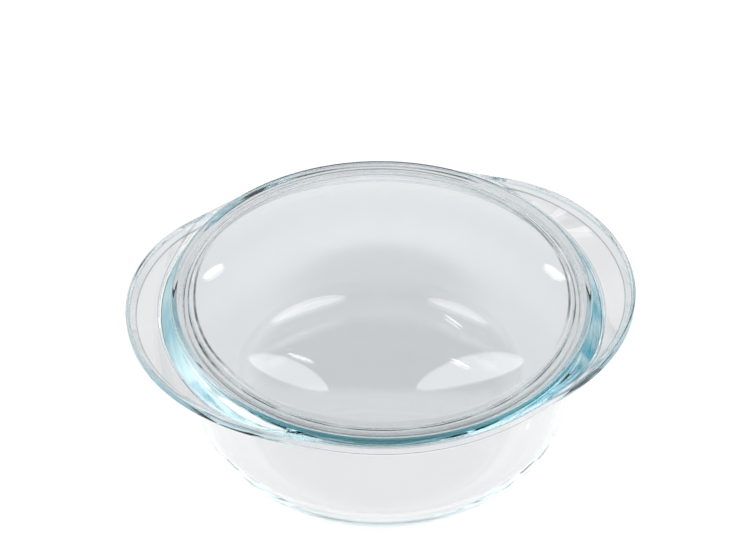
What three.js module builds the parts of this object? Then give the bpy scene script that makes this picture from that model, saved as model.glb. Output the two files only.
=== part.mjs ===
// Round covered casserole dish in clear pressed glass: a deep dish with two
// crescent ears on its rim, and a loose domed lid whose flange rests on that rim.
//
// Millimetres, +Z up. The origin is the centre of the dish's base, on the surface
// it stands on. +X runs along the two ears.

import * as THREE from 'three';

// ---- driving dimensions: dish ----
const SEGMENTS = 72;
const BASE_THICKNESS = 5.5;
const CORNER_RADIUS = 40;
const WALL_TOP_RADIUS = 107.3;
const WALL_TOP_Z = 83.4;
const WALL_THICKNESS = 4.4;
const WALL_DRAFT = THREE.MathUtils.degToRad(11.9);
const MOUTH_RADIUS = 101.8;
const MOUTH_DEPTH = 9;
const RIM_RADIUS = 108;
const RIM_TOP_Z = 88;
const RIM_THICKNESS = 4.6;
const RIM_EDGE = 1;
const SHOULDER_RADIUS = 106;

// ---- driving dimensions: ears ----
const EAR_ARC_RADIUS = 92.3;
const EAR_ARC_CENTRE_X = 36;
const EAR_BLEND = 4.5;
const EAR_TIP_RADIUS = 127;
const EAR_TIP_RISE = 4.8;
const EAR_TIP_THICKNESS = 6.2;
const EAR_PLATE_THICKNESS = 5;
const EAR_UNDER_FILLET = 9;
const EAR_UNDER_SLOPE = 0.7;
const VALLEY_RADIUS = 112;
const VALLEY_DEPTH = 5.5;
const VALLEY_ROUND = 1.8;
const LIP_WIDTH = 5;
const LIP_FOOT_DEPTH = 1.2;
const LIP_ROUND = 2.5;

// ---- driving dimensions: lid ----
const SEAT_GAP = 0.3;
const FLANGE_RADIUS = 105.5;
const FLANGE_THICKNESS = 3.7;
const SKIRT_RADIUS = 99.6;
const SKIRT_INNER_RADIUS = 95.6;
const SKIRT_DEPTH = 4;
const DOME_RADIUS = 96;
const DOME_HEIGHT = 28;
const DOME_FILLET = 6;
const DOME_THICKNESS = 4.4;
const HOLLOW_MARGIN = 4;

const { lerp, smoothstep } = THREE.MathUtils;
const point = (radius, z) => new THREE.Vector2(radius, z);
const corner = (radius, z, round, steps) => ({ at: point(radius, z), round, steps });

// Points on a circular arc, from one angle to another, both ends included.
function arc(centreRadius, centreZ, radius, from, to, steps) {
  const points = [];
  for (let i = 0; i <= steps; i += 1) {
    const angle = lerp(from, to, i / steps);
    points.push(point(
      centreRadius + radius * Math.cos(angle),
      centreZ + radius * Math.sin(angle),
    ));
  }
  return points;
}

// One corner between its neighbours, replaced by an arc of its own radius. The
// arc never takes more than half of the shorter side beside it.
function roundedCorner(before, { at, round, steps }, after) {
  const back = before.at.clone().sub(at);
  const ahead = after.at.clone().sub(at);
  const room = 0.48 * Math.min(back.length(), ahead.length());
  back.normalize();
  ahead.normalize();
  const half = Math.acos(THREE.MathUtils.clamp(back.dot(ahead), -1, 1)) / 2;
  const straight = half > Math.PI / 2 - 1e-4;
  const tangent = straight ? 0 : Math.min(round / Math.tan(half), room);
  const start = at.clone().addScaledVector(back, tangent);
  const end = at.clone().addScaledVector(ahead, tangent);
  const points = [];
  for (let i = 0; i <= steps; i += 1) {
    if (straight) {
      const spread = lerp(-0.5, 0.5, i / steps) * Math.min(0.2, room);
      points.push(at.clone().addScaledVector(ahead, spread));
    } else {
      const radius = tangent * Math.tan(half);
      const middle = back.clone().add(ahead).normalize();
      const centre = at.clone().addScaledVector(middle, radius / Math.sin(half));
      const turn = start.clone().sub(centre).cross(end.clone().sub(centre)) > 0 ? 1 : -1;
      const angle = turn * (Math.PI - 2 * half) * (i / steps);
      points.push(start.clone().rotateAround(centre, angle));
    }
  }
  return points;
}

// Polyline through the corners, with the first and last left sharp.
function rounded(corners) {
  return corners.flatMap((item, i) => {
    if (i === 0 || i === corners.length - 1) {
      return [item.at];
    }
    return roundedCorner(corners[i - 1], item, corners[i + 1]);
  });
}

// Largest radius of the rim and ears at an angle about the axis. Each ear is a
// circular arc centred off the axis, blended into the round rim.
function outlineRadius(theta) {
  const across = EAR_ARC_CENTRE_X * Math.sin(theta);
  const along = EAR_ARC_CENTRE_X * Math.abs(Math.cos(theta));
  const ear = along + Math.sqrt(EAR_ARC_RADIUS ** 2 - across ** 2);
  const gap = ear - RIM_RADIUS;
  return RIM_RADIUS + (gap + Math.hypot(gap, EAR_BLEND)) / 2;
}

// Radius of the valley's floor: fixed along the ear, and drawn in towards the rim
// where the ear narrows.
function valleyRadius(lipFoot) {
  const drawn = lerp(SHOULDER_RADIUS, lipFoot, 0.6);
  return (VALLEY_RADIUS + drawn - Math.hypot(VALLEY_RADIUS - drawn, 0.6)) / 2;
}

// Half section of the dish at an angle about the axis, from the centre of the
// base, out and up the outside, over the rim, and down the inside. On an ear the
// top falls from the rim into a valley, climbs along the plate and turns up into
// a lip. The underside follows it, but never climbs more steeply than its own limit.
function dishSection(theta) {
  const taper = Math.tan(WALL_DRAFT);
  const outline = outlineRadius(theta);
  const depth = smoothstep(outline, 109, 119);
  const rise = smoothstep(outline, 110, EAR_TIP_RADIUS);
  const width = smoothstep(outline, 108.5, 120);

  const lipFoot = outline - lerp(1.2, LIP_WIDTH, smoothstep(outline, 109, 120));
  const lipFootZ = RIM_TOP_Z - LIP_FOOT_DEPTH * depth;
  const valley = valleyRadius(lipFoot);
  const valleyZ = RIM_TOP_Z - VALLEY_DEPTH * depth;
  const tipTopZ = RIM_TOP_Z + EAR_TIP_RISE * rise;
  const tipLowZ = tipTopZ - lerp(RIM_THICKNESS, EAR_TIP_THICKNESS, rise);

  const overhang = outline - WALL_TOP_RADIUS;
  const lowShare = lerp(0.15, 1 - (0.8 * LIP_WIDTH) / overhang, width);
  const low = WALL_TOP_RADIUS + lowShare * overhang;
  const lowZ = lerp(tipLowZ, lipFootZ - EAR_PLATE_THICKNESS, depth);
  const slope = Math.min((lipFootZ - valleyZ) / (lipFoot - valley), EAR_UNDER_SLOPE);
  const baseRadius = WALL_TOP_RADIUS - WALL_TOP_Z * taper;
  const underZ = (lowZ - slope * low + slope * baseRadius) / (1 - slope * taper);
  const innerRadius = MOUTH_RADIUS - (RIM_TOP_Z - MOUTH_DEPTH - BASE_THICKNESS) * taper;

  return rounded([
    corner(0, 0, 0, 0),
    corner(baseRadius, 0, CORNER_RADIUS, 9),
    corner(baseRadius + underZ * taper, underZ, lerp(0.1, EAR_UNDER_FILLET, depth), 5),
    corner(low, lowZ, LIP_ROUND, 2),
    corner(outline, tipLowZ, lerp(RIM_EDGE, 1.8, rise), 2),
    corner(outline, tipTopZ, RIM_EDGE, 2),
    corner(lipFoot, lipFootZ, LIP_ROUND, 2),
    corner(valley, valleyZ, VALLEY_ROUND, 2),
    corner(SHOULDER_RADIUS, RIM_TOP_Z, 1.5, 2),
    corner(MOUTH_RADIUS, RIM_TOP_Z, 1.2, 2),
    corner(MOUTH_RADIUS, RIM_TOP_Z - MOUTH_DEPTH, 6, 1),
    corner(innerRadius, BASE_THICKNESS, CORNER_RADIUS - WALL_THICKNESS, 8),
    corner(0, BASE_THICKNESS, 0, 0),
  ]);
}

// Dish: a lathe surface whose half section changes with the angle about the axis,
// so that the ears grow out of the rim in one body.
function dishGeometry() {
  const geometry = new THREE.LatheGeometry(dishSection(0), SEGMENTS);
  const position = geometry.getAttribute('position');
  const count = dishSection(0).length;
  for (let i = 0; i <= SEGMENTS; i += 1) {
    const theta = (2 * Math.PI * (i % SEGMENTS)) / SEGMENTS;
    dishSection(theta).forEach((vertex, j) => {
      position.setXYZ(
        i * count + j,
        vertex.x * Math.cos(theta),
        vertex.x * Math.sin(theta),
        vertex.y,
      );
    });
  }
  return geometry;
}

// Half section of the lid, from the underside of the dome's top out to the
// locating skirt inside the mouth, round the flange, and back over the dome.
function lidSection() {
  const underZ = RIM_TOP_Z + SEAT_GAP;
  const topZ = underZ + FLANGE_THICKNESS;
  const skirtEndZ = underZ - SKIRT_DEPTH;
  const sphere = (DOME_RADIUS ** 2 + DOME_HEIGHT ** 2) / (2 * DOME_HEIGHT);
  const centreZ = topZ + DOME_HEIGHT - sphere;
  const rootSlope = Math.asin(DOME_RADIUS / sphere);
  const tangent = DOME_FILLET * Math.tan(rootSlope / 2);
  const domeEnd = Math.acos((DOME_RADIUS - tangent * Math.cos(rootSlope)) / sphere);
  const fillet = arc(
    DOME_RADIUS + tangent, topZ + DOME_FILLET, DOME_FILLET,
    -Math.PI / 2, -Math.PI / 2 - rootSlope, 3,
  );
  const inner = sphere - DOME_THICKNESS;
  const hollowEnd = Math.acos((SKIRT_INNER_RADIUS - HOLLOW_MARGIN) / inner);
  const hollow = arc(0, centreZ, inner, Math.PI / 2, hollowEnd, 9);
  const hollowRim = hollow[hollow.length - 1];
  const rim = rounded([
    corner(hollowRim.x, hollowRim.y, 0, 0),
    corner(SKIRT_INNER_RADIUS, hollowRim.y - HOLLOW_MARGIN / Math.tan(hollowEnd), 3, 2),
    corner(SKIRT_INNER_RADIUS, skirtEndZ, 0.6, 1),
    corner(SKIRT_RADIUS, skirtEndZ, 0.8, 1),
    corner(SKIRT_RADIUS, underZ, 0.3, 1),
    corner(FLANGE_RADIUS, underZ, 0.7, 1),
    corner(FLANGE_RADIUS, topZ, 0.7, 2),
    corner(fillet[0].x, fillet[0].y, 0, 0),
  ]);
  return [
    ...hollow,
    ...rim.slice(1),
    ...fillet.slice(1),
    ...arc(0, centreZ, sphere, domeEnd, Math.PI / 2, 9).slice(1),
  ];
}

const glass = (name, color) => {
  const material = new THREE.MeshStandardMaterial({
    color,
    roughness: 0.05,
    metalness: 0,
    transparent: true,
    opacity: 0.35,
  });
  material.name = name;
  return material;
};

const dish = new THREE.Mesh(dishGeometry(), glass('dish_glass', 0xdfecee));
dish.name = 'dish';

const lid = new THREE.Mesh(
  new THREE.LatheGeometry(lidSection(), SEGMENTS).rotateX(Math.PI / 2),
  glass('lid_glass', 0xe4eef0),
);
lid.name = 'lid';

const casserole = new THREE.Group();
casserole.name = 'covered_casserole_dish';
casserole.add(dish, lid);

export default casserole;
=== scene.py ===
import math

import bpy
from mathutils import Matrix, Vector


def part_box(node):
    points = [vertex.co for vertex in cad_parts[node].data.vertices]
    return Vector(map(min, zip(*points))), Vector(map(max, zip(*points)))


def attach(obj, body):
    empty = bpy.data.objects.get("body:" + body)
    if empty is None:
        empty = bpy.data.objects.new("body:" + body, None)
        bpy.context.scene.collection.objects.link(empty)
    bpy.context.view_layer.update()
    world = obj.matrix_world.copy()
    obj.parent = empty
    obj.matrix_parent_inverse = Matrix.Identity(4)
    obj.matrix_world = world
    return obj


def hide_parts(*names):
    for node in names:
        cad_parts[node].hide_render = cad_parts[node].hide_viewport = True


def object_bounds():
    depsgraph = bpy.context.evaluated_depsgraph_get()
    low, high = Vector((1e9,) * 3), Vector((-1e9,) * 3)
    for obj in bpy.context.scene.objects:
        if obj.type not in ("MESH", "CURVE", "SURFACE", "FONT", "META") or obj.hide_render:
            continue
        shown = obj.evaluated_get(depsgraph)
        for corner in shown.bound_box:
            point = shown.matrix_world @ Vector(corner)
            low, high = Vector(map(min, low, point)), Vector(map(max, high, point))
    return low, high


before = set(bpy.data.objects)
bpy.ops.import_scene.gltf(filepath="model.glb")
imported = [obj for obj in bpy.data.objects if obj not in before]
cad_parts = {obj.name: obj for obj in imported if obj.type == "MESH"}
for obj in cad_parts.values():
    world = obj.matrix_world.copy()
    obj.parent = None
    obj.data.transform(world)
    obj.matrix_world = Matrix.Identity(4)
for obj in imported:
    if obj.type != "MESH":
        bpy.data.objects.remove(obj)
cad_lo, cad_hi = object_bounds()
lid_lo, lid_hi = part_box("lid")

MM = 0.001
SEGMENTS = 288  # steps round the axis
SIDE_SHARE = 0.48  # most of the shorter side beside a corner that its arc takes
STRAIGHT_ANGLE = 1e-4  # a corner straighter than this has no arc
STRAIGHT_REACH = 0.2 * MM  # and its points are spread along this length

# ---- dish, in metres ----
RIM_R = 108 * MM
RIM_TOP_Z = 88 * MM
RIM_T = 4.6 * MM
RIM_EDGE = 1.0 * MM
SHOULDER_R = 106.0 * MM
SHOULDER_ROUND = 1.5 * MM
WALL_TOP_R = 107.3 * MM
WALL_TOP_Z = 83.4 * MM
WALL_T = 4.4 * MM
DRAFT = math.radians(11.9)
MOUTH_R = 101.8 * MM
MOUTH_DEPTH = 9 * MM
MOUTH_ROUND = 1.2 * MM
MOUTH_FOOT_ROUND = 6 * MM
BASE_T = 5.5 * MM
CORNER_R = 40 * MM

# ---- ears; each span is a pair of outline radii between which that part takes shape ----
EAR_ARC_R = 92.3 * MM
EAR_ARC_X = 36 * MM
EAR_BLEND = 4.5 * MM
EAR_TIP_R = 127 * MM
EAR_RISE = 4.8 * MM
EAR_T = 6.2 * MM
PLATE_T = 5.0 * MM
UNDER_ROUND = 0.1 * MM
UNDER_FILLET = 9 * MM
UNDER_SLOPE = 0.7  # steepest climb of the ears' underside
VALLEY_R = 112.0 * MM
VALLEY_DEPTH = 5.5 * MM
VALLEY_ROUND = 1.8 * MM
VALLEY_BLEND = 0.6 * MM
VALLEY_SHARE = 0.6  # of the way from shoulder to lip, where the ear is narrow
RIM_LIP = 1.2 * MM  # width of the lip on the plain rim
LIP_WIDTH = 5.0 * MM
LIP_FOOT_DEPTH = 1.2 * MM
LIP_ROUND = 2.5 * MM
LOW_SHARE = 0.15  # of the overhang under the plain rim, where the underside turns up
LOW_LIP_SHARE = 0.8  # of the lip's width that stands out past that turn on the ears
TIP_ROUND = 1.8 * MM
DEPTH_SPAN = (109 * MM, 119 * MM)
RISE_SPAN = (110 * MM, EAR_TIP_R)
LIP_SPAN = (109 * MM, 120 * MM)
LOW_SPAN = (108.5 * MM, 120 * MM)

# ---- lid; its outer limits come from its CAD box ----
FLANGE_R = lid_hi.x
DOME_TOP_Z = lid_hi.z
SKIRT_END_Z = lid_lo.z
SEAT_GAP = 0.3 * MM
FLANGE_T = 3.7 * MM
FLANGE_ROUND = 0.7 * MM
SEAT_ROUND = 0.3 * MM
SKIRT_R = 99.6 * MM
SKIRT_ROUND = 0.8 * MM
SKIRT_IN_R = 95.6 * MM
SKIRT_IN_ROUND = 0.6 * MM
DOME_R = 96 * MM
DOME_FILLET = 6 * MM
DOME_T = 4.4 * MM
HOLLOW_MARGIN = 4 * MM
HOLLOW_ROUND = 3 * MM
HOLLOW_STEPS, FILLET_STEPS, DOME_STEPS = 44, 12, 48

# ---- glass: a ray that crosses a surface is multiplied by the square root of the tint ----
GLASS_IOR = 1.48
ABSORB = (0.1, 0.82, 0.93)
DENSITY = 1.2
WAVE_SCALE, WAVE_DETAIL = 14, 1.5
WAVE_STRENGTH, WAVE_HEIGHT = 0.02, 0.004
WALL_TINT = (0.91, 0.91, 0.915)
# painted shade: the bowl's lower corner is made a little darker and warmer, so that its edges look
# greyer
CORNER_SHADE_TINT = (0.89, 0.885, 0.888)
# painted shade: the ears are made darker than the rest of the glass
EAR_SHADE_TINT = (0.69, 0.70, 0.705)
# painted trapped light: pale to deep blue-green that stands for light carried inside the glass
# wall, on the slope beside the rim
TRAPPED_LIGHT_PALE_TINT = (0.95, 0.985, 0.99)
TRAPPED_LIGHT_DEEP_TINT = (0.03, 0.27, 0.38)
# painted shade: thin dark lines that stand for the dark edges curved glass shows
DARK_LINE_SHADE_TINT = (0.10, 0.14, 0.16)
# painted trapped light: blue-green along the ears' outer edge
EAR_EDGE_TRAPPED_LIGHT_TINT = (0.40, 0.58, 0.64)
LID_TINT = (0.73, 0.75, 0.76)
LID_TINT_2 = (0.695, 0.715, 0.725)
# painted shade: near-black lines along the lid's skirt and hollow
LID_LINE_SHADE_TINT = (0.004, 0.006, 0.007)
# painted trapped light: dark blue-green on the flange edge, at the front and right
FLANGE_TRAPPED_LIGHT_TINT = (0.008, 0.11, 0.14)

# ---- where the tints lie, the painted shade and painted trapped light among them: (start, full) of a fade, by radius, height, or the cosine
# (x) or sine (y) of the angle about the axis; lines, which are painted shade, have a centre and
#     half a width ----
STREAK_DETAIL = 3.0
LINE_CORE = 0.4  # share of a line's half width that is full
CORNER_FADE_R, CORNER_FADE_Z = (74 * MM, 84 * MM), (50 * MM, 20 * MM)
EAR_FADE_R = (110 * MM, 114 * MM)
EAR_SIDE_X = (0.4, 0.8)
SLOPE_FADE_R, SLOPE_FADE_Z = (104.6 * MM, 105.4 * MM), (80 * MM, 82 * MM)
SLOPE_FADE_Y = (0.72, 0.45)
SLOPE_OUTER_R, SLOPE_EAR_WIDTH, SLOPE_SOFT = 106.4 * MM, 5.0 * MM, 0.9 * MM
RIGHT_DEEP, RIGHT_X, RIGHT_Y = 0.85, (-0.2, 0.45), (0.6, 0.2)
FRONT_DEEP, FRONT_Y = 0.25, (-0.45, -0.95)
FLOW_NOISE, FLOW_RANGE, FLOW_BASE, FLOW_GAIN = (7.0, 900.0, 3.0), (0.32, 0.68), 0.55, 0.75
STRAND_NOISE, STRAND_RANGE = (3.0, 1500.0, 8.0), (0.52, 0.66)
STRAND_Y, STRAND_DEEP = (0.0, -0.35), 0.8
VALLEY_LINE, VALLEY_LINE_Z, VALLEY_LINE_LEVEL = (112.2 * MM, 0.5 * MM), (80 * MM, 81 * MM), 0.55
RIM_LOW_LINE = (83.7 * MM, 0.4 * MM)
RIM_TOP_LINE, RIM_TOP_LINE_LEVEL = (87.7 * MM, 0.35 * MM), 0.7
RIM_FACE_R, RIM_FACE_INSIDE = (107.2 * MM, 107.6 * MM), (1.0 * MM, 0.7 * MM)
EAR_EDGE_INSIDE, EAR_EDGE_Z = (0.5 * MM, 0.2 * MM), (78 * MM, 80 * MM)
FOOT_LINE, FOOT_LINE_Z, FOOT_LINE_LEVEL = (5.2 * MM, 0.4 * MM), (84 * MM, 85 * MM), 0.8
LID_NOISE = (2.0, 60.0, 1.0)
DRIFT_NOISE, DRIFT = (3.0, 0.0, 5.0), 1.2 * MM
FADE_NOISE, FADE_RANGE, FADE_BASE, FADE_GAIN = (5.0, 0.0, 9.0), (0.3, 0.55), 0.4, 0.6
SWELL_X = (0.75, 0.98)
SKIRT_LINE = (99.2 * MM, 0.4 * MM)
SKIRT_IN_LINE_R, SKIRT_IN_LINE_WIDTH, SKIRT_IN_SWELL = 96.1 * MM, 0.45 * MM, 1.5
SKIRT_LINE_Z = (85.6 * MM, 85.0 * MM)
HOLLOW_LINE, HOLLOW_LINE_Z = (92.6 * MM, 0.9 * MM), (91.0 * MM, 90.0 * MM)
FACE_R, FACE_Z = (104.8 * MM, 105.2 * MM), (91.8 * MM, 91.4 * MM)
FACE_FRONT_Y = (-0.25, -0.7)
FACE_RIGHT_X, FACE_RIGHT_LEVEL = (0.3, 0.8), 0.5

# ---- floor ----
FLOOR_HALF = 6.0
FLOOR_GAP = 0.0002  # below the base, so that the two faces don't coincide
FLOOR_COLOUR = (0.15, 0.15, 0.15)
FLOOR_GLOW = 0.92

# ---- room: a direction is given by its slopes x/z and y/z, with y along the camera's heading ----
YAW = math.radians(-13.2)
HORIZON_LEVEL = 1.1
CEILING_LEVEL = 1.6
CEILING_Z = (0.15, 0.55)
LOWEST_Z = 0.02  # keeps the slopes finite near the horizon
# centre, half widths, softness and depth of each dark oval overhead
DARK_OVALS = (
    ((0.05, 0.24), (0.85, 0.36), 0.12, 0.85),
    ((0.02, 0.85), (0.55, 0.45), 0.45, 0.7),
)
BEHIND_DARK, BEHIND_Y, BEHIND_TOP_Z, BEHIND_LOW_Z = 0.45, (0.15, 0.45), (0.85, 0.6), (0.22, 0.4)
BOX_LEVEL = 3.0
BOX_Z = (0.2, 0.3)
BOX_POINT = 0.6  # how pointed the ends are
BOX_OUTSIDE = 0.2  # share of the softness that lies outside the edge
# start, end, width, bend and softness of each leaf-shaped soft box
SOFT_BOXES = (
    ((-0.84, 0.31), (-0.29, -0.10), 0.16, 0.0, 0.012),
    ((0.19, -0.10), (0.95, 0.36), 0.19, 0.0, 0.012),
    ((-0.66, 0.52), (-0.18, 0.55), 0.12, 0.01, 0.015),
    ((0.24, 0.55), (0.63, 0.50), 0.10, 0.01, 0.015),
)
GLEAM_LEVEL = 2.5
GLEAMS = (
    ((-0.53, 0.205), (-0.36, 0.09), 0.022, 0.0, 0.005),
    ((0.34, 0.445), (0.45, 0.38), 0.022, 0.0, 0.005),
    ((0.37, 0.13), (0.51, 0.10), 0.022, 0.0, 0.005),
)
LAMPS = ((-2.1, 3.1, 1.0), (2.6, 3.9, 1.0))
LAMP_SPREAD = math.radians(2.2)
LAMP_SOFT = 0.15

# ---- camera and light paths ----
ELEVATION, ROLL = math.radians(40.75), math.radians(0.4)
IMAGE_WIDTH, SENSOR_WIDTH = 734, 36
DISTANCE, FOCAL_PX = 1.4667, 2932.0
SHIFT_X, SHIFT_Y = 14.83 / FOCAL_PX, -12.53 / FOCAL_PX
CLIP_END = 50
BOUNCES = 44  # light trapped in the glass ends here, which keeps thin edges dark


def lerp(a, b, t):
    return a + (b - a) * t


def smoothstep(x, a, b):
    t = min(max((x - a) / (b - a), 0.0), 1.0)
    return t * t * (3 - 2 * t)


def arc(cr, cz, radius, start, end, steps):
    """Points (radius from the axis, height) on an arc, both ends included."""
    return [
        (cr + radius * math.cos(lerp(start, end, i / steps)),
         cz + radius * math.sin(lerp(start, end, i / steps)))
        for i in range(steps + 1)
    ]


def line(a, b, steps):
    """Points between a and b, ends left out, closer together near the ends."""
    out = []
    for i in range(1, steps):
        t = 0.5 - 0.5 * math.cos(math.pi * i / steps)
        out.append((lerp(a[0], b[0], t), lerp(a[1], b[1], t)))
    return out


def outline_r(theta):
    """Largest radius of rim and ears at an angle about the axis."""
    across = EAR_ARC_X * math.sin(theta)
    along = EAR_ARC_X * abs(math.cos(theta))
    gap = along + math.sqrt(EAR_ARC_R ** 2 - across ** 2) - RIM_R
    return RIM_R + (gap + math.hypot(gap, EAR_BLEND)) / 2


def corner_arc(before, corner, after):
    """Points of the arc that replaces one corner, within half of the shorter side beside it."""
    here = Vector(corner[:2])
    radius, steps = corner[2:4]
    a, b = Vector(before[:2]) - here, Vector(after[:2]) - here
    room = SIDE_SHARE * min(a.length, b.length)
    a.normalize()
    b.normalize()
    half = math.acos(max(-1.0, min(1.0, a.dot(b)))) / 2
    if half > math.pi / 2 - STRAIGHT_ANGLE:
        reach = min(STRAIGHT_REACH, room)
        spread = [lerp(-0.5, 0.5, k / steps) for k in range(steps + 1)]
        return [tuple(here + b * share * reach) for share in spread]
    tangent = min(radius / math.tan(half), room)
    centre = here + (a + b).normalized() * (tangent / math.cos(half))
    arm = here + a * tangent - centre
    side = 1 if a.x * b.y - a.y * b.x < 0 else -1
    turn = side * (math.pi - 2 * half)
    angles = [turn * k / steps for k in range(steps + 1)]
    return [tuple(centre + Matrix.Rotation(angle, 2) @ arm) for angle in angles]


def rounded(corners):
    """Polyline through corners, each rounded.

    A corner is (r, z, radius of its arc, steps on the arc, steps on the line after it).
    """
    pieces = [[tuple(corners[0][:2])]]
    for i in range(1, len(corners) - 1):
        pieces.append(corner_arc(corners[i - 1], corners[i], corners[i + 1]))
    pieces.append([tuple(corners[-1][:2])])
    out = []
    for i, piece in enumerate(pieces):
        out += piece
        if i + 1 < len(pieces) and corners[i][4] > 1:
            out += line(piece[-1], pieces[i + 1][0], corners[i][4])
    return out


def softmin(a, b, blend):
    """The smaller of a and b, eased where they are close."""
    return (a + b - math.hypot(a - b, blend)) / 2


def dish_section(theta):
    """Half section of the dish, from the base's centre out, over the rim and back inside."""
    taper = math.tan(DRAFT)
    outline = outline_r(theta)
    depth = smoothstep(outline, *DEPTH_SPAN)
    rise = smoothstep(outline, *RISE_SPAN)
    foot_r = outline - lerp(RIM_LIP, LIP_WIDTH, smoothstep(outline, *LIP_SPAN))
    foot_z = RIM_TOP_Z - LIP_FOOT_DEPTH * depth
    valley_r = softmin(VALLEY_R, lerp(SHOULDER_R, foot_r, VALLEY_SHARE), VALLEY_BLEND)
    valley_z = RIM_TOP_Z - VALLEY_DEPTH * depth
    tip_top = RIM_TOP_Z + EAR_RISE * rise
    tip_low = tip_top - lerp(RIM_T, EAR_T, rise)
    overhang = outline - WALL_TOP_R
    low_full = 1 - LOW_LIP_SHARE * LIP_WIDTH / overhang
    low_r = WALL_TOP_R + lerp(LOW_SHARE, low_full, smoothstep(outline, *LOW_SPAN)) * overhang
    low_z = lerp(tip_low, foot_z - PLATE_T, depth)
    slope = min((foot_z - valley_z) / (foot_r - valley_r), UNDER_SLOPE)
    base_r = WALL_TOP_R - WALL_TOP_Z * taper
    under_z = (low_z - slope * low_r + slope * base_r) / (1 - slope * taper)
    inner_r = MOUTH_R - (RIM_TOP_Z - MOUTH_DEPTH - BASE_T) * taper
    return rounded([
        (0.0, 0.0, 0, 0, 12),
        (base_r, 0.0, CORNER_R, 44, 16),
        (base_r + under_z * taper, under_z, lerp(UNDER_ROUND, UNDER_FILLET, depth), 24, 10),
        (low_r, low_z, LIP_ROUND, 10, 5),
        (outline, tip_low, lerp(RIM_EDGE, TIP_ROUND, rise), 10, 4),
        (outline, tip_top, RIM_EDGE, 10, 5),
        (foot_r, foot_z, LIP_ROUND, 10, 8),
        (valley_r, valley_z, VALLEY_ROUND, 12, 6),
        (SHOULDER_R, RIM_TOP_Z, SHOULDER_ROUND, 8, 6),
        (MOUTH_R, RIM_TOP_Z, MOUTH_ROUND, 8, 6),
        (MOUTH_R, RIM_TOP_Z - MOUTH_DEPTH, MOUTH_FOOT_ROUND, 8, 10),
        (inner_r, BASE_T, CORNER_R - WALL_T, 40, 12),
        (0.0, BASE_T, 0, 0, 0),
    ])


def lid_section(_theta):
    """Half section of the lid, the same at every angle: hollow, skirt, flange, dome."""
    under_z = RIM_TOP_Z + SEAT_GAP
    top = under_z + FLANGE_T
    height = DOME_TOP_Z - top
    sphere = (DOME_R ** 2 + height ** 2) / (2 * height)
    cz = top + height - sphere
    slope = math.asin(DOME_R / sphere)
    tangent = DOME_FILLET * math.tan(slope / 2)
    end = math.acos((DOME_R - tangent * math.cos(slope)) / sphere)
    inner = sphere - DOME_T
    inner_r = SKIRT_IN_R - HOLLOW_MARGIN
    inner_end = math.acos(inner_r / inner)
    hollow = arc(0, cz, inner, math.pi / 2, inner_end, HOLLOW_STEPS)
    fillet = arc(DOME_R + tangent, top + DOME_FILLET, DOME_FILLET,
                 -math.pi / 2, -math.pi / 2 - slope, FILLET_STEPS)
    dome = arc(0, cz, sphere, end, math.pi / 2, DOME_STEPS)
    corner_z = hollow[-1][1] - HOLLOW_MARGIN / math.tan(inner_end)
    rim = rounded([
        (*hollow[-1], 0, 0, 3),
        (SKIRT_IN_R, corner_z, HOLLOW_ROUND, 8, 4),
        (SKIRT_IN_R, SKIRT_END_Z, SKIRT_IN_ROUND, 6, 3),
        (SKIRT_R, SKIRT_END_Z, SKIRT_ROUND, 6, 3),
        (SKIRT_R, under_z, SEAT_ROUND, 4, 4),
        (FLANGE_R, under_z, FLANGE_ROUND, 6, 3),
        (FLANGE_R, top, FLANGE_ROUND, 6, 5),
        (*fillet[0], 0, 0, 0),
    ])
    return hollow + rim[1:] + fillet[1:] + dome[1:]


def revolve(name, section):
    """Closed smooth surface through the sections at every angle round the axis."""
    verts, faces = [], []
    rings = [section(2 * math.pi * i / SEGMENTS) for i in range(SEGMENTS)]
    count = len(rings[0])
    for i, ring in enumerate(rings):
        angle = 2 * math.pi * i / SEGMENTS
        verts += [(r * math.cos(angle), r * math.sin(angle), z) for r, z in ring[1:-1]]
    inner = count - 2
    first, last = len(verts), len(verts) + 1
    verts += [(0, 0, rings[0][0][1]), (0, 0, rings[0][-1][1])]
    for i in range(SEGMENTS):
        a, b = i * inner, ((i + 1) % SEGMENTS) * inner
        faces.append((first, b, a))
        for j in range(inner - 1):
            faces.append((a + j, b + j, b + j + 1, a + j + 1))
        faces.append((a + inner - 1, b + inner - 1, last))
    mesh = bpy.data.meshes.new(name)
    mesh.from_pydata(verts, [], faces)
    mesh.validate()
    mesh.shade_smooth()
    piece = bpy.data.objects.new(name, mesh)
    bpy.context.scene.collection.objects.link(piece)
    return piece


class Maths:
    """Chains math nodes in one node tree; a value is a number or a socket."""

    def __init__(self, tree):
        self.tree = tree

    def __call__(self, op, *values):
        node = self.tree.nodes.new("ShaderNodeMath")
        node.operation = op
        for socket, value in zip(node.inputs, values):
            if isinstance(value, (int, float)):
                socket.default_value = value
            else:
                self.tree.links.new(value, socket)
        return node.outputs[0]

    def fold(self, op, values):
        """One operation over many values, from the first to the last."""
        result, *rest = values
        for value in rest:
            result = self(op, result, value)
        return result

    def product(self, *values):
        return self.fold("MULTIPLY", values)

    def ramp(self, value, start, end):
        """0 at start, 1 at end, eased between."""
        node = self.tree.nodes.new("ShaderNodeMapRange")
        node.interpolation_type = "SMOOTHSTEP"
        self.tree.links.new(value, node.inputs["Value"])
        node.inputs["From Min"].default_value = start
        node.inputs["From Max"].default_value = end
        return node.outputs["Result"]

    def thin_line(self, value, centre, width):
        """1 where value is at the centre, falling to 0 at width on either side."""
        offset = self("ABSOLUTE", self("SUBTRACT", value, centre))
        return self.ramp(offset, width, width * LINE_CORE)

    def tint(self, factor, a, b):
        """Colour a where factor is 0 and b where it is 1; each is a colour or a socket."""
        node = self.tree.nodes.new("ShaderNodeMix")
        node.data_type = "RGBA"
        self.tree.links.new(factor, node.inputs["Factor"])
        for name, value in (("A", a), ("B", b)):
            socket = [i for i in node.inputs if i.name == name and i.type == "RGBA"][0]
            if isinstance(value, tuple):
                socket.default_value = (*value, 1)
            else:
                self.tree.links.new(value, socket)
        return [o for o in node.outputs if o.type == "RGBA"][0]


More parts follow.
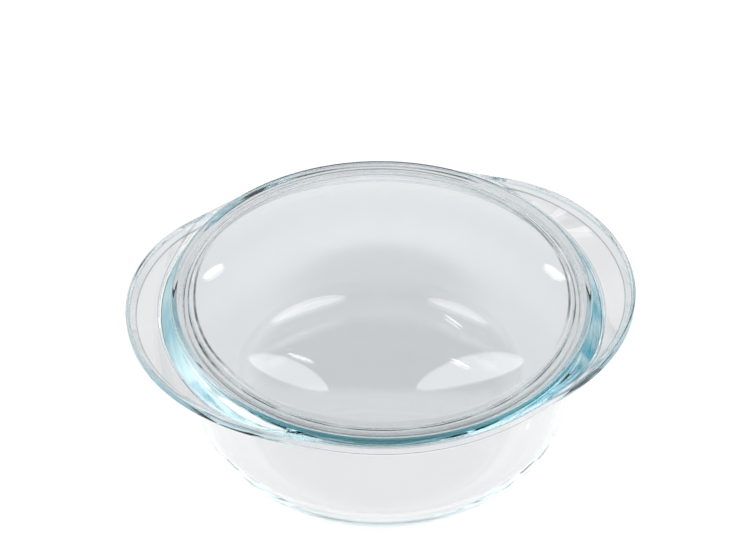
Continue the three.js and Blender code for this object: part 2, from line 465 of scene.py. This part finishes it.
class Place:
    """Where a point of the glass is: radius, height, and cosine and sine about the axis."""

    def __init__(self, m, position):
        self.m = m
        split = m.tree.nodes.new("ShaderNodeSeparateXYZ")
        m.tree.links.new(position, split.inputs["Vector"])
        x, y, self.z = split.outputs
        self.r = m("SQRT", m("ADD", m("MULTIPLY", x, x), m("MULTIPLY", y, y)))
        safe = m("MAXIMUM", self.r, MM)
        self.ux, self.uy = m("DIVIDE", x, safe), m("DIVIDE", y, safe)

    def streaks(self, along, across, seed):
        """Noise drawn out round the axis, 0 to 1."""
        m = self.m
        join = m.tree.nodes.new("ShaderNodeCombineXYZ")
        m.tree.links.new(m("MULTIPLY", self.ux, along), join.inputs["X"])
        m.tree.links.new(m("MULTIPLY", self.uy, along), join.inputs["Y"])
        height = m("ADD", m("MULTIPLY", m("ADD", self.r, self.z), across), seed)
        m.tree.links.new(height, join.inputs["Z"])
        noise = m.tree.nodes.new("ShaderNodeTexNoise")
        noise.inputs["Scale"].default_value = 1.0
        noise.inputs["Detail"].default_value = STREAK_DETAIL
        m.tree.links.new(join.outputs["Vector"], noise.inputs["Vector"])
        return noise.outputs["Fac"]

    def outline_distance(self):
        """How far inside the outline of rim and ears the point is."""
        m = self.m
        across = m("MULTIPLY", self.uy, EAR_ARC_X)
        root = m("SQRT", m("SUBTRACT", EAR_ARC_R ** 2, m("MULTIPLY", across, across)))
        ear = m("ADD", m("MULTIPLY", m("ABSOLUTE", self.ux), EAR_ARC_X), root)
        gap = m("SUBTRACT", ear, RIM_R)
        bend = m("SQRT", m("ADD", m("MULTIPLY", gap, gap), EAR_BLEND ** 2))
        outline = m("ADD", RIM_R, m("MULTIPLY", m("ADD", gap, bend), 0.5))
        return m("SUBTRACT", outline, self.r)


def glass(name, tint, build_tint):
    """Clear polished glass with body absorption, faint waviness and painted tints, among them
    painted shade and painted trapped light.
    """
    mat = bpy.data.materials.new(name)
    mat.use_nodes = True
    nt = mat.node_tree
    p = nt.nodes["Principled BSDF"]
    p.inputs["Base Color"].default_value = (*tint, 1)
    p.inputs["Roughness"].default_value = 0.0
    p.inputs["IOR"].default_value = GLASS_IOR
    p.inputs["Transmission Weight"].default_value = 1.0
    coord = nt.nodes.new("ShaderNodeTexCoord")
    wave = nt.nodes.new("ShaderNodeTexNoise")
    wave.inputs["Scale"].default_value = WAVE_SCALE
    wave.inputs["Detail"].default_value = WAVE_DETAIL
    bump = nt.nodes.new("ShaderNodeBump")
    bump.inputs["Strength"].default_value = WAVE_STRENGTH
    bump.inputs["Distance"].default_value = WAVE_HEIGHT
    nt.links.new(coord.outputs["Object"], wave.inputs["Vector"])
    nt.links.new(wave.outputs["Fac"], bump.inputs["Height"])
    nt.links.new(bump.outputs["Normal"], p.inputs["Normal"])
    m = Maths(nt)
    nt.links.new(build_tint(m, Place(m, coord.outputs["Object"])), p.inputs["Base Color"])
    vol = nt.nodes.new("ShaderNodeVolumeAbsorption")
    vol.inputs["Color"].default_value = (*ABSORB, 1)
    vol.inputs["Density"].default_value = DENSITY
    nt.links.new(vol.outputs["Volume"], nt.nodes["Material Output"].inputs["Volume"])
    return mat


def trapped_light_depth(m, at):
    """How deep the painted trapped light, a blue-green, is on the slope beside the rim, 0 to 1, in
    streaks.
    """
    right = m.product(m.ramp(at.ux, *RIGHT_X), m.ramp(at.uy, *RIGHT_Y), RIGHT_DEEP)
    front = m("MULTIPLY", m.ramp(at.uy, *FRONT_Y), FRONT_DEEP)
    flow = m.ramp(at.streaks(*FLOW_NOISE), *FLOW_RANGE)
    flow = m("ADD", FLOW_BASE, m("MULTIPLY", flow, FLOW_GAIN))
    deep = m("MULTIPLY", m("MAXIMUM", right, front), flow)
    strand = m.ramp(at.streaks(*STRAND_NOISE), *STRAND_RANGE)
    strand = m.product(strand, m.ramp(at.uy, *STRAND_Y), STRAND_DEEP)
    return m("MAXIMUM", deep, strand)


def dish_tint(m, at):
    """Near-clear glass: greyer ears and a darker lower corner as painted shade, a blue-green slope
    beside the rim and ear edge as painted trapped light, thin dark lines as painted shade.
    """
    # painted shade: darker, warmer glass at the bowl's lower corner
    corner = m.product(m.ramp(at.r, *CORNER_FADE_R), m.ramp(at.z, *CORNER_FADE_Z))
    colour = m.tint(corner, WALL_TINT, CORNER_SHADE_TINT)
    # painted shade: darker ears
    colour = m.tint(m.ramp(at.r, *EAR_FADE_R), colour, EAR_SHADE_TINT)

    # painted trapped light: a blue-green band on the slope beside the rim, wider on the ears
    on_ear = m.ramp(m("ABSOLUTE", at.ux), *EAR_SIDE_X)
    outer = m("ADD", SLOPE_OUTER_R, m("MULTIPLY", on_ear, SLOPE_EAR_WIDTH))
    trapped_light_band = m.product(
        m.ramp(at.r, *SLOPE_FADE_R),
        m.ramp(m("SUBTRACT", at.r, outer), SLOPE_SOFT, -SLOPE_SOFT),
        m.ramp(at.z, *SLOPE_FADE_Z),
        m.ramp(at.uy, *SLOPE_FADE_Y),
    )
    colour = m.tint(trapped_light_band, colour, m.tint(trapped_light_depth(m, at), TRAPPED_LIGHT_PALE_TINT, TRAPPED_LIGHT_DEEP_TINT))

    # painted shade: a dark line along the valley of the ears
    valley = m.product(m.thin_line(at.r, *VALLEY_LINE), on_ear,
                       m.ramp(at.z, *VALLEY_LINE_Z), VALLEY_LINE_LEVEL)
    colour = m.tint(valley, colour, DARK_LINE_SHADE_TINT)

    inside = at.outline_distance()
    # painted shade: dark lines along the top and foot of the rim's outer face, off the ears
    rim_face = m.product(m.ramp(at.r, *RIM_FACE_R), m.ramp(inside, *RIM_FACE_INSIDE))
    top_line = m("MULTIPLY", m.thin_line(at.z, *RIM_TOP_LINE), RIM_TOP_LINE_LEVEL)
    rim_lines = m("MAXIMUM", m.thin_line(at.z, *RIM_LOW_LINE), top_line)
    rim_lines = m.product(rim_lines, rim_face, m("SUBTRACT", 1.0, on_ear))
    colour = m.tint(rim_lines, colour, DARK_LINE_SHADE_TINT)

    # painted trapped light: blue-green on the ears' outer edge
    edge = m.product(m.ramp(inside, *EAR_EDGE_INSIDE), on_ear, m.ramp(at.z, *EAR_EDGE_Z))
    colour = m.tint(edge, colour, EAR_EDGE_TRAPPED_LIGHT_TINT)
    # painted shade: a dark line at the foot of the ears' lip
    foot = m.product(m.thin_line(inside, *FOOT_LINE), on_ear,
                     m.ramp(at.z, *FOOT_LINE_Z), FOOT_LINE_LEVEL)
    return m.tint(foot, colour, DARK_LINE_SHADE_TINT)


def lid_tint(m, at):
    """Near-clear glass in tones that vary at random: dark lines along the skirt and hollow as
    painted shade, a blue-green flange edge as painted trapped light.
    """
    colour = m.tint(at.streaks(*LID_NOISE), LID_TINT, LID_TINT_2)

    # painted shade: near-black lines along the skirt and hollow, drifting and fading in streaks
    drift = m("MULTIPLY", m("SUBTRACT", at.streaks(*DRIFT_NOISE), 0.5), DRIFT)
    drifted = m("ADD", at.r, drift)
    swell = m.ramp(m("ABSOLUTE", at.ux), *SWELL_X)
    offset = m("ABSOLUTE", m("SUBTRACT", drifted, SKIRT_IN_LINE_R))
    reach = m("MULTIPLY", m("ADD", 1.0, m("MULTIPLY", swell, SKIRT_IN_SWELL)), SKIRT_IN_LINE_WIDTH)
    skirt_in = m.ramp(m("DIVIDE", offset, reach), 1.0, LINE_CORE)
    lines = m("MAXIMUM", m.thin_line(drifted, *SKIRT_LINE), skirt_in)
    lines = m("MULTIPLY", lines, m.ramp(at.z, *SKIRT_LINE_Z))
    hollow = m.product(m.thin_line(drifted, *HOLLOW_LINE), swell, m.ramp(at.z, *HOLLOW_LINE_Z))
    fade = m.ramp(at.streaks(*FADE_NOISE), *FADE_RANGE)
    fade = m("ADD", FADE_BASE, m("MULTIPLY", fade, FADE_GAIN))
    colour = m.tint(m("MULTIPLY", m("MAXIMUM", lines, hollow), fade), colour, LID_LINE_SHADE_TINT)

    # painted trapped light: dark blue-green on the flange edge at the front and right
    face = m.product(m.ramp(at.r, *FACE_R), m.ramp(at.z, *FACE_Z))
    right = m("MULTIPLY", m.ramp(at.ux, *FACE_RIGHT_X), FACE_RIGHT_LEVEL)
    side = m("MAXIMUM", m.ramp(at.uy, *FACE_FRONT_Y), right)
    return m.tint(m("MULTIPLY", face, side), colour, FLANGE_TRAPPED_LIGHT_TINT)


dish = revolve("dish_body", dish_section)
lid = revolve("lid_body", lid_section)
dish.data.materials.append(glass("dish_clear_glass", WALL_TINT, dish_tint))
lid.data.materials.append(glass("lid_clear_glass", LID_TINT, lid_tint))
for piece, node in ((dish, "dish"), (lid, "lid")):
    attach(piece, node)
    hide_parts(node)


def pale_floor():
    """Plain pale floor that glows a little, so that it is as bright as the room."""
    mesh = bpy.data.meshes.new("floor")
    z = cad_lo.z - FLOOR_GAP
    signs = ((-1, -1), (1, -1), (1, 1), (-1, 1))
    corners = [(x * FLOOR_HALF, y * FLOOR_HALF, z) for x, y in signs]
    mesh.from_pydata(corners, [], [(0, 1, 2, 3)])
    obj = bpy.data.objects.new("floor", mesh)
    bpy.context.scene.collection.objects.link(obj)
    mat = bpy.data.materials.new("floor")
    mat.use_nodes = True
    p = mat.node_tree.nodes["Principled BSDF"]
    p.inputs["Base Color"].default_value = (*FLOOR_COLOUR, 1)
    p.inputs["Roughness"].default_value = 1.0
    p.inputs["Specular IOR Level"].default_value = 0.0
    p.inputs["Emission Color"].default_value = (1, 1, 1, 1)
    p.inputs["Emission Strength"].default_value = FLOOR_GLOW
    mesh.materials.append(mat)
    return obj


floor = pale_floor()


def studio_world():
    """White room with leaf-shaped soft boxes, darker overhead and behind the camera."""
    world = bpy.data.worlds.new("studio")
    bpy.context.scene.world = world
    world.use_nodes = True
    tree = world.node_tree
    m = Maths(tree)
    coord = tree.nodes.new("ShaderNodeTexCoord")
    spin = tree.nodes.new("ShaderNodeVectorRotate")
    spin.rotation_type = "Z_AXIS"
    spin.inputs["Angle"].default_value = -YAW
    split = tree.nodes.new("ShaderNodeSeparateXYZ")
    tree.links.new(coord.outputs["Generated"], spin.inputs["Vector"])
    tree.links.new(spin.outputs["Vector"], split.inputs["Vector"])
    x, y, z = split.outputs
    up = m("MAXIMUM", z, LOWEST_Z)
    px, py = m("DIVIDE", x, up), m("DIVIDE", y, up)

    def oval(centre, half, soft):
        """1 inside an oval of the ceiling, 0 outside."""
        u = m("DIVIDE", m("SUBTRACT", px, centre[0]), half[0])
        v = m("DIVIDE", m("SUBTRACT", py, centre[1]), half[1])
        d = m("SQRT", m("ADD", m("MULTIPLY", u, u), m("MULTIPLY", v, v)))
        return m.ramp(d, 1 + soft, 1 - soft)

    def leaf(start, end, width, bend, soft):
        """1 inside a leaf-shaped soft box lying along the line from start to end."""
        dx, dy = end[0] - start[0], end[1] - start[1]
        size = math.hypot(dx, dy)
        qx, qy = m("SUBTRACT", px, start[0]), m("SUBTRACT", py, start[1])
        t = m("ADD", m("MULTIPLY", qx, dx / size ** 2), m("MULTIPLY", qy, dy / size ** 2))
        side = m("ADD", m("MULTIPLY", qx, -dy / size), m("MULTIPLY", qy, dx / size))
        hump = m("MAXIMUM", m.product(t, m("SUBTRACT", 1.0, t), 4.0), 0.0)
        offset = m("ABSOLUTE", m("SUBTRACT", side, m("MULTIPLY", hump, bend)))
        reach = m("MULTIPLY", m("POWER", hump, BOX_POINT), width / 2)
        return m.ramp(m("SUBTRACT", reach, offset), -soft * BOX_OUTSIDE, soft)

    def lamp(direction):
        """1 inside a small round lamp low in the room."""
        toward = Vector(direction).normalized()
        dot = m("MULTIPLY", x, toward.x)
        dot = m("ADD", dot, m("MULTIPLY", y, toward.y))
        dot = m("ADD", dot, m("MULTIPLY", z, toward.z))
        outer, inner = LAMP_SPREAD * (1 + LAMP_SOFT), LAMP_SPREAD * (1 - LAMP_SOFT)
        return m.ramp(dot, math.cos(outer), math.cos(inner))

    dark = [m("MULTIPLY", oval(*place), depth) for *place, depth in DARK_OVALS]
    height = m.product(m.ramp(z, *BEHIND_TOP_Z), m.ramp(z, *BEHIND_LOW_Z))
    dark.append(m.product(m.ramp(m("MULTIPLY", y, -1), *BEHIND_Y), height, BEHIND_DARK))
    level = m("MULTIPLY", m.ramp(z, *CEILING_Z), CEILING_LEVEL - HORIZON_LEVEL)
    level = m("ADD", HORIZON_LEVEL, level)
    light = m.product(*[m("SUBTRACT", 1.0, patch) for patch in dark], level)

    gleams = m("MULTIPLY", m.fold("ADD", [leaf(*shape) for shape in GLEAMS]), GLEAM_LEVEL)
    boxes = m.fold("ADD", [leaf(*shape) for shape in SOFT_BOXES] + [gleams])
    boxes = m("MULTIPLY", boxes, m.ramp(z, *BOX_Z))
    boxes = m.fold("ADD", [boxes] + [lamp(direction) for direction in LAMPS])
    light = m("ADD", light, m("MULTIPLY", boxes, BOX_LEVEL))
    bg = tree.nodes["Background"]
    bg.inputs["Color"].default_value = (1.0, 1.0, 1.0, 1)
    tree.links.new(light, bg.inputs["Strength"])


studio_world()


# ---- camera ----
turn = Matrix.Rotation(YAW, 3, "Z")
forward = turn @ Vector((0, math.cos(ELEVATION), -math.sin(ELEVATION)))
right = turn @ Vector((1, 0, 0))
up = turn @ Vector((0, math.sin(ELEVATION), math.cos(ELEVATION)))
target = Vector((0, 0, RIM_TOP_Z + SEAT_GAP + FLANGE_T))
axes = Matrix((right, up, -forward)).transposed()
data = bpy.data.cameras.new("camera")
data.sensor_width = SENSOR_WIDTH
data.lens = FOCAL_PX / IMAGE_WIDTH * SENSOR_WIDTH
data.clip_end = CLIP_END
camera = bpy.data.objects.new("camera", data)
bpy.context.scene.collection.objects.link(camera)
camera.location = target - DISTANCE * (forward + SHIFT_X * right + SHIFT_Y * up)
camera.rotation_mode = "QUATERNION"
camera.rotation_quaternion = (axes @ Matrix.Rotation(ROLL, 3, "Z")).to_quaternion()

scene = bpy.context.scene
scene.camera = camera
scene.view_settings.view_transform = "Standard"
scene.cycles.max_bounces = BOUNCES
scene.cycles.transmission_bounces = BOUNCES
scene.cycles.glossy_bounces = BOUNCES
scene.cycles.sample_clamp_indirect = 0
scene.cycles.use_denoising = True
